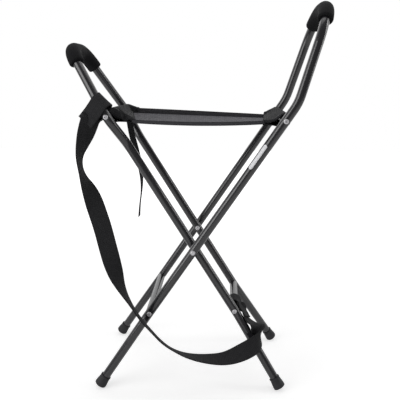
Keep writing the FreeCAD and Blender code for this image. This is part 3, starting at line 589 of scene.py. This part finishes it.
for name, hem in HEMS.items():
    reach, top, foot, left, right, flat_size = hem
    shape = cloth_grid(90, 20, lambda across, along: hem_point(hem, across, along),
                       (HEM_ROUND, right - left), rolled=True)
    bmesh.ops.holes_fill(shape, edges=[edge for edge in shape.edges if edge.is_boundary],
                         sides=0)
    bmesh.ops.recalc_face_normals(shape, faces=shape.faces)
    tape = finished("sling_binding_" + name, shape, binding, None)
    pieces = [tape]
    for row, share in SEAM_ROWS:
        for face, out in (("front", -1), ("back", 1)):
            line = []
            for step in range(SEAM_STEPS + 1):
                x = left + SEAM_INSET + (right - left - SEAM_INSET * 2) * step / SEAM_STEPS
                low, high = edge_height(foot, x), edge_height(top, x)
                line.append(Vector((x, reach + hem_sway(x, share * 2 - 1, reach)
                                    + out * HEM_THICKNESS * STITCH_OUT,
                                    low + (high - low) * share)))
            pieces.append(sew(f"sling_stitches_{name}_{row}_{face}", line, STITCH_SPACING,
                              STITCH_LENGTH, thread_finish, None))
    for piece in pieces:
        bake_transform(piece)
    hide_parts("seat_edge_" + name)


# Seat sleeves: the sling's ends are folded round the seat crossbars and sewn through in a
# slanting seam. The cloth is black there, stands off the bar and creases at the near left
# corner.
SLEEVE_LENGTH = 0.144
SLEEVE_GIRTH = {"left": 0.112, "right": 0.118}

# Each sleeve is a row of sections in mm, x and height, at places along the bar. A section
# starts at the seam, goes over the bar and comes back under it.
SLEEVES = {
    "left": (
        (-0.072, ((-105, 506.8), (-119, 508.2), (-131, 509.8), (-141, 512.4), (-150, 521.6),
                  (-159.6, 520.0), (-161.6, 513.5), (-158, 506.0), (-150, 503.8), (-136, 505.2),
                  (-118, 504.8), (-105, 503.4))),
        (-0.070, ((-105, 508.6), (-119, 510.8), (-131, 513.8), (-141, 517.6), (-150, 524.4),
                  (-159.6, 520.5), (-161.6, 513.5), (-158, 506.0), (-150, 503.8), (-136, 505.2),
                  (-118, 505.2), (-105, 504.0))),
        (-0.064, ((-108, 510.6), (-119, 515.8), (-131, 521.8), (-143, 527.4), (-152, 526.6),
                  (-159.6, 520.8), (-161.6, 513.5), (-158, 506.0), (-150, 503.6), (-136, 504.4),
                  (-119, 505.8), (-108, 507.0))),
        (0.066, ((-133, 511.0), (-136, 514.5), (-139.5, 520.5), (-144.5, 526.2),
                 (-152.5, 525.2), (-159.6, 520.5), (-161.6, 513.5), (-158, 506.0),
                 (-150, 503.6), (-143, 503.4), (-138, 504.6), (-133, 506.6))),
        (0.072, ((-121, 519.6), (-126, 521.6), (-133.6, 524.0), (-144, 526.6), (-152.5, 525.2),
                 (-159.6, 520.5), (-161.6, 513.5), (-158, 506.0), (-150, 503.6), (-138, 504.0),
                 (-128, 505.8), (-121, 507.4)))),
    "right": (
        (-0.072, ((117, 505.4), (125, 504.2), (132, 506.0), (139, 508.8), (144.2, 512.4),
                  (149.5, 518.0), (155.5, 520.8), (161.6, 516.0), (163.4, 508.0), (160, 500.6),
                  (152, 498.0), (140.6, 499.0), (128, 501.0), (117, 500.8))),
        (-0.068, ((118, 509.0), (125, 508.8), (132, 509.4), (139, 512.0), (144.2, 515.6),
                  (149.5, 520.0), (155.5, 520.8), (161.6, 516.0), (163.4, 508.0), (160, 500.6),
                  (152, 497.6), (140.6, 498.6), (128, 502.2), (118, 504.4))),
        (0.066, ((128, 505.4), (133, 509.4), (138, 513.2), (143, 517.0), (148.6, 521.0),
                 (153, 522.0), (158.4, 520.0), (162.6, 514.6), (163.4, 508.0), (160, 500.6),
                 (152, 497.4), (143, 498.0), (134, 499.2), (128, 499.2))),
        (0.072, ((128.6, 511.4), (133, 513.7), (138, 516.4), (143.5, 519.2), (149.2, 522.0),
                 (153.6, 522.0), (158.8, 519.8), (162.6, 514.6), (163.4, 508.0), (160, 500.6),
                 (152, 497.6), (143, 498.0), (134, 499.6), (128.6, 499.6)))),
}
SLEEVE_THICKNESS = 0.0013
SLEEVE_PUCKER, PUCKERS = 0.0008, (70, 38, 60)
UPPER_CLOTH = 0.3
SLEEVE_SEAM = (("outer", 0.0035), ("inner", 0.0085))
SLEEVE_SEAM_START, SLEEVE_SEAM_RUN, SLEEVE_SEAM_STEPS = 0.03, 0.94, 48
STITCH_STAND = 0.0007

# The crease runs over the left sleeve to its near corner. It gets deeper on the way, and
# stops just above the lower cloth.
CREASE_START, CREASE_END = Vector((-0.143, -0.034)), Vector((-0.121, -0.073))
CREASE_DEPTH, CREASE_DEEPENS = 0.0032, 0.0046
CREASE_WIDTH, CREASE_STEEP = 0.0026, 4
CREASE_BOTTOM = 0.5066


def closed_round(points, share):
    """A point on the smooth closed line through some points, by its share of the way round."""
    place = share * len(points)
    first = int(place) % len(points)
    t = place - int(place)
    before, start, end, after = (Vector(points[(first + step) % len(points)])
                                 for step in (-1, 0, 1, 2))
    return (start * 2 + (end - before) * t
            + (before * 2 - start * 5 + end * 4 - after) * t * t
            + (start * 3 - before - end * 3 + after) * t ** 3) / 2


def crease_dip(x, reach):
    """How far the crease presses the left sleeve down at a place."""
    way = CREASE_END - CREASE_START
    spot = Vector((x, reach)) - CREASE_START
    share = max(0.0, min(1.0, spot.dot(way) / way.length_squared))
    miss = (spot - way * share).length
    return ((CREASE_DEPTH + CREASE_DEEPENS * share) * math.exp(-(miss / CREASE_WIDTH) ** 2)
            * min(1.0, share * CREASE_STEEP))


def sleeve_point(side, across, along):
    """A point of a sleeve's cloth: across goes round its section, and along follows the bar.
    The upper cloth is puckered."""
    reach = -SLEEVE_LENGTH / 2 + SLEEVE_LENGTH * along
    for (low, first), (high, last) in zip(SLEEVES[side], SLEEVES[side][1:]):
        if reach <= high + 1e-6:
            break
    start, end = closed_round(first, across % 1.0), closed_round(last, across % 1.0)
    flat = start.lerp(end, min(1.0, max(0.0, (reach - low) / (high - low)))) / 1000
    point = Vector((flat.x, reach, flat.y))
    if across < UPPER_CLOTH:
        point.z += SLEEVE_PUCKER * noise.noise(
            Vector((flat.x * PUCKERS[0], reach * PUCKERS[1], flat.y * PUCKERS[2])))
        if side == "left":
            point.z = max(point.z - crease_dip(flat.x, reach), min(point.z, CREASE_BOTTOM))
    return point


# Black polyester: flat and dark, so the sleeves read as one with the bars, and only the
# crease and the sewn edge catch light.
SLEEVE_THREAD = 0.0011
# 141416 is painted shade in the gaps between threads, and #242427 painted highlight on each thread
# crown.
sleeve_cloth = weave("black polyester sleeve cloth", "#141416", "#242427", SLEEVE_THREAD, 0.3)
for side, stations in SLEEVES.items():
    girth = SLEEVE_GIRTH[side]
    shape = cloth_grid(72, 96, lambda across, along: sleeve_point(side, across, along),
                       (girth, SLEEVE_LENGTH), rolled=True)
    sleeve = finished("sling_sleeve_" + side, shape, sleeve_cloth, None)
    thickened(sleeve, SLEEVE_THICKNESS)
    seam = []
    for row, inward in SLEEVE_SEAM:
        share = inward / girth
        for face, across, out in (("top", share, 1),
                                  ("under", 1 - 1 / len(stations[0][1]) - share, -1)):
            line = []
            for step in range(SLEEVE_SEAM_STEPS + 1):
                along = SLEEVE_SEAM_START + SLEEVE_SEAM_RUN * step / SLEEVE_SEAM_STEPS
                point = sleeve_point(side, across, along)
                point.z += STITCH_STAND * out
                line.append(point)
            seam.append(sew(f"sleeve_stitches_{side}_{row}_{face}", line, STITCH_SPACING,
                            STITCH_LENGTH, thread_finish, None))
    for piece in [sleeve] + seam:
        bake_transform(piece)
    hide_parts("seat_sleeve_" + side)


# Carry strap: 32 mm polypropylene webbing, 2 mm thick, whose free stretch hangs between two
# sewn loops. It leaves the near left leg, twists once and turns back up at the bottom. Its
# route is in mm from the scissor pivot, each point with the way that its width lies.
PIVOT = Vector(frame["joints"][0]["pos_m"])
STRAP_WIDTH = 0.032
STRAP_THICKNESS = 0.002
STRAP_EDGE = 0.0005
STRAP_ROUTE = (
    (-175.5, -89, 236, 1.0, 0.3, -0.3), (-183, -91, 214, 0.8, 0.6, -0.3),
    (-190, -94, 194, 0.4, 0.9, -0.25), (-197, -97, 170, 0.0, 1.0, -0.3),
    (-193, -99, 142, 0.0, 1.0, -0.25), (-178, -102, 111, 0.6, 0.8, 0.2),
    (-168, -104, 79, 0.9, 0.3, 0.3), (-158, -107, 47, 0.9, 0.3, 0.2),
    (-148, -111, 4, 0.9, 0.3, 0.2), (-139, -114, -29, 0.7, 0.7, 0.2),
    (-127, -117, -62, 0.1, 1.0, 0.0), (-112, -118, -91, -0.2, 1.0, -0.15),
    (-95, -118, -121, -0.2, 1.0, -0.25), (-76, -118, -144, -0.15, 0.95, -0.35),
    (-56, -118, -167.5, -0.1, 0.9, -0.4), (-35, -118, -183, -0.1, 0.9, -0.42),
    (-7, -121, -192.5, -0.1, 0.95, -0.25), (29, -122, -196.5, -0.1, 1.0, 0.0),
    (63, -120, -196, -0.2, 0.95, 0.25), (95, -111, -186, -0.35, 0.65, 0.65),
    (117, -99, -178, -0.4, 0.2, 0.9), (127, -85, -173, -0.15, -0.1, 1.0),
    (127, -72, -165, 0.2, 0.1, 0.8), (114.5, -62, -155, 0.25, 0.9, -0.3),
    (101, -58, -147, 0.05, 1.0, -0.12), (95.9, -51, -136.2, 0.0, 1.0, -0.06))


def from_pivot(route):
    """A route's points in metres, and how the strap lies there."""
    return [(PIVOT + Vector(point[:3]) / 1000, Vector(point[3:])) for point in route]


def read_curve(points):
    """Points read from the smooth curve that a route's control points draw."""
    drawn = bpy.data.curves.new("route", "CURVE")
    drawn.dimensions = "3D"
    drawn.resolution_u = 16
    spline = drawn.splines.new("NURBS")
    spline.points.add(len(points) - 1)
    for control, point in zip(spline.points, points):
        control.co = (*point, 1)
    spline.order_u = 3
    spline.use_endpoint_u = True
    line = bpy.data.objects.new("route", drawn)
    mesh = bpy.data.meshes.new_from_object(line)
    read = [corner.co.copy() for corner in mesh.vertices]
    bpy.data.objects.remove(line)
    bpy.data.meshes.remove(mesh)
    return read


def ribbon(route, width, columns=8):
    """A flat strap along a route, with its UV map in metres, and the line that it follows."""
    middle = read_curve([point for point, lay in route])
    lays = read_curve([lay for point, lay in route])
    last = len(middle) - 1
    sides, runs = [], [0.0]
    for place in range(last + 1):
        along = (middle[min(place + 1, last)] - middle[max(place - 1, 0)]).normalized()
        sides.append((lays[place] - along * lays[place].dot(along)).normalized())
    for start, end in zip(middle, middle[1:]):
        runs.append(runs[-1] + (end - start).length)

    def strap_point(across, along):
        place = round(along * last)
        return middle[place] + sides[place] * width * (across - 0.5)

    shape = cloth_grid(last, columns, strap_point)
    layer = shape.loops.layers.uv["Cloth"]
    for face in shape.faces:
        for loop in face.loops:
            across, along = loop[layer].uv
            loop[layer].uv = (across * width, runs[round(along * last)])
    return shape, middle


# Polypropylene webbing: slippery black ribs that stay dark, with a dull shine on its turns.
# The ribs are drawn about half as wide again as real ones, so that they show at all.
WEBBING_THREAD = 0.0016
# 19191b is painted shade in the gaps between threads, and #2b2b2d painted highlight on each thread
# crown.
webbing = weave("black polypropylene webbing", "#19191b", "#2b2b2d", WEBBING_THREAD, 0.3)
route = from_pivot(STRAP_ROUTE)
shape, strap_line = ribbon(route, STRAP_WIDTH)
strap = finished("carry_strap_webbing", shape, webbing, "inner_frame")
thickened(strap, STRAP_THICKNESS, STRAP_EDGE)
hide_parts("carry_strap")


# Sewn loops: at its top the strap goes slanting round the leg, and its end is sewn down on
# the strap. At the bottom it goes round the lower crossbar and back on itself, sewn the same
# way. The first route is in mm along, out of and across the leg, the second from the pivot.
LEG_CENTRE = Vector((-0.1619, -0.0791, 0.5309))
LEG_ALONG = Vector((0.659, 0.032, 0.751))
LEG_ACROSS = Vector((-0.716, 0.337, 0.611))
LEG_OUT = Vector((-0.234, -0.941, 0.245))
LEG_LOOP = (
    (-20.4, 5, -2), (-16, -4, 0), (-6, -11, 3), (5, -11.2, 4), (12, -7.5, 4), (15, -1.5, 3),
    (15, 3.5, 2), (11, 9, 2), (4, 11.6, 1.4), (-6, 11.4, 0), (-18, 9.4, 0), (-28, 8.8, 0),
    (-37.6, 8.6, 0))
leg_route = [route[0]] + [
    (LEG_CENTRE + (LEG_ALONG * along + LEG_OUT * out + LEG_ACROSS * across) / 1000, -LEG_ACROSS)
    for along, out, across in LEG_LOOP]
BAR_LOOP = (
    (91.6, -45, -131.8, 0.0, 1.0, -0.05), (86.8, -39, -130.8, 0.0, 1.0, 0.0),
    (82, -35, -134.4, 0.0, 1.0, 0.0), (73.3, -31, -134.7, 0.0, 1.0, 0.0),
    (67.2, -30, -129.2, 0.0, 1.0, 0.0), (67.2, -30, -120.8, 0.0, 1.0, 0.0),
    (73.3, -30, -115.1, 0.0, 1.0, 0.0), (81.2, -31, -115.1, 0.0, 1.0, 0.0),
    (87.2, -36, -120.8, 0.0, 1.0, 0.0), (90, -41, -127.4, 0.0, 1.0, -0.05),
    (97.6, -50, -134.6, 0.0, 1.0, -0.06), (103.2, -57, -142, 0.0, 1.0, -0.03))
bar_route = [route[-1]] + from_pivot(BAR_LOOP)
LOOP_COLUMNS = 8
LOOP_STITCH_SPACING, LOOP_STITCH_LENGTH = 0.0036, 0.0028
SEWN_WIDTH = 0.86

# Each loop has its route, the CAD node that it stands for and its rows of stitches, by their
# share of the way along it. A row is sewn twice, half the webbing's thickness up and down.
LOOPS = (
    ("strap_loop_on_leg", leg_route, "strap_top_loop", {1: 0.86, 2: 0.97}),
    ("strap_loop_on_bar", bar_route, "strap_lower_loop", {0: 0.86, 1: 0.97}))
for name, loop_route, node, seams in LOOPS:
    shape, line = ribbon(loop_route, STRAP_WIDTH, LOOP_COLUMNS)
    corners = [corner.co.copy() for corner in shape.verts]
    piece = finished(name, shape, webbing, "inner_frame")
    thickened(piece, STRAP_THICKNESS, STRAP_EDGE)
    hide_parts(node)
    for number, share in seams.items():
        first = round(share * (len(line) - 1)) * (LOOP_COLUMNS + 1)
        row = corners[first:first + LOOP_COLUMNS + 1]
        middle = (row[0] + row[-1]) / 2
        for face, up in (("back", -1), ("front", 1)):
            lift = Vector((0, 0, up * STRAP_THICKNESS / 2))
            sewn = [middle + (corner - middle) * SEWN_WIDTH + lift for corner in row]
            sew(f"{name}_stitches_{number}_{face}", sewn, LOOP_STITCH_SPACING,
                             LOOP_STITCH_LENGTH, thread_finish, "inner_frame")


# Closure tape: a narrow tape of the same webbing, sewn under the left sleeve, for tying the
# folded seat. It hangs beside the legs and turns edge-on to the front.
TAPE_WIDTH = 0.012
TAPE_THICKNESS = 0.0012
TAPE_EDGE = 0.0003
TAPE_ROUTE = (
    (-127, 6, 232.5, 1.0, 0.6, 0.2), (-124, 6, 206, 1.0, 0.6, 0.2), (-118, 5, 182, 0.9, 0.6, 0.3),
    (-109, 4, 147, 0.7, 0.8, 0.1), (-105, 4, 115, 0.3, 1.0, 0.0), (-107, 5, 86, 0.0, 1.0, 0.0),
    (-111, 5, 63, 0.0, 1.0, 0.0), (-113, 6, 38, 0.1, 1.0, 0.0))
tape_route = from_pivot(TAPE_ROUTE)
shape, tape_line = ribbon(tape_route, TAPE_WIDTH, 4)
tape = finished("closure_tape_ribbon", shape, webbing, "inner_frame")
thickened(tape, TAPE_THICKNESS, TAPE_EDGE)
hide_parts("closure_tape")


# Label: a blank white paper strip with round ends, glued along the near leg of the outer
# frame, a little up and to the left of the tube's front. It lies on the tube's own curve.
LABEL_MIDDLE, LABEL_LENGTH = 0.2068, 0.050
LABEL_RADIUS = 0.00806
LABEL_TURN, LABEL_ARC = math.radians(-34), math.radians(27)
LABEL_THICKNESS = 0.0001
LABEL_TIP = 0.02
LEG_LEAN = math.radians(33.7)
LEG_DEPTH = Vector((0, -0.088, 0))
leg_way = Vector((math.sin(LEG_LEAN), 0, math.cos(LEG_LEAN)))
leg_side = Vector((leg_way.z, 0, -leg_way.x))
leg_start = PIVOT + LEG_DEPTH
round_end = LABEL_RADIUS * LABEL_ARC


def label_point(across, along):
    """A point of the label on the tube's surface. It narrows to nothing at its round ends."""
    past = max(0.0, abs(along - 0.5) * LABEL_LENGTH - (LABEL_LENGTH / 2 - round_end))
    narrow = math.sqrt(max(0.0, 1 - (past / round_end) ** 2))
    turn = LABEL_TURN + LABEL_ARC * (across * 2 - 1) * max(narrow, LABEL_TIP)
    out = Vector((0, -1, 0)) * math.cos(turn) + leg_side * math.sin(turn)
    return leg_start + leg_way * (LABEL_MIDDLE + (along - 0.5) * LABEL_LENGTH) + out * LABEL_RADIUS


# Gloss paper: the brightest thing on the object, a clean white with faint fibres and soil.
LABEL_FIBRE = 0.00143
LABEL_SOIL = 0.0143
paper_label, tree = new_finish("white gloss paper label")
place = add_node(tree, "ShaderNodeUVMap", {"uv_map": "Cloth"})
fibre = add_node(tree, "ShaderNodeTexNoise", None,
                 {"Vector": place.outputs[0], "Scale": 1 / LABEL_FIBRE, "Detail": 3.0})
soil = add_node(tree, "ShaderNodeTexNoise", None,
                {"Vector": place.outputs[0], "Scale": 1 / LABEL_SOIL, "Detail": 2.0})
shade = add_node(tree, "ShaderNodeMix", {"data_type": "RGBA"},
                 {0: soil.outputs["Fac"], 6: linear("#ebebf0"), 7: linear("#fbfbfd")})
bump = add_node(tree, "ShaderNodeBump", None,
                {"Height": fibre.outputs["Fac"], "Distance": 0.00003})
surface = add_node(tree, "ShaderNodeBsdfPrincipled", None,
                   {"Base Color": shade.outputs[2], "Roughness": 0.35,
                    "Normal": bump.outputs[0]})
add_node(tree, "ShaderNodeOutputMaterial", None, {"Surface": surface.outputs[0]})
shape = cloth_grid(60, 12, label_point, (round_end * 2, LABEL_LENGTH))
label = finished("blank_label", shape, paper_label, "outer_frame")
thickened(label, LABEL_THICKNESS)
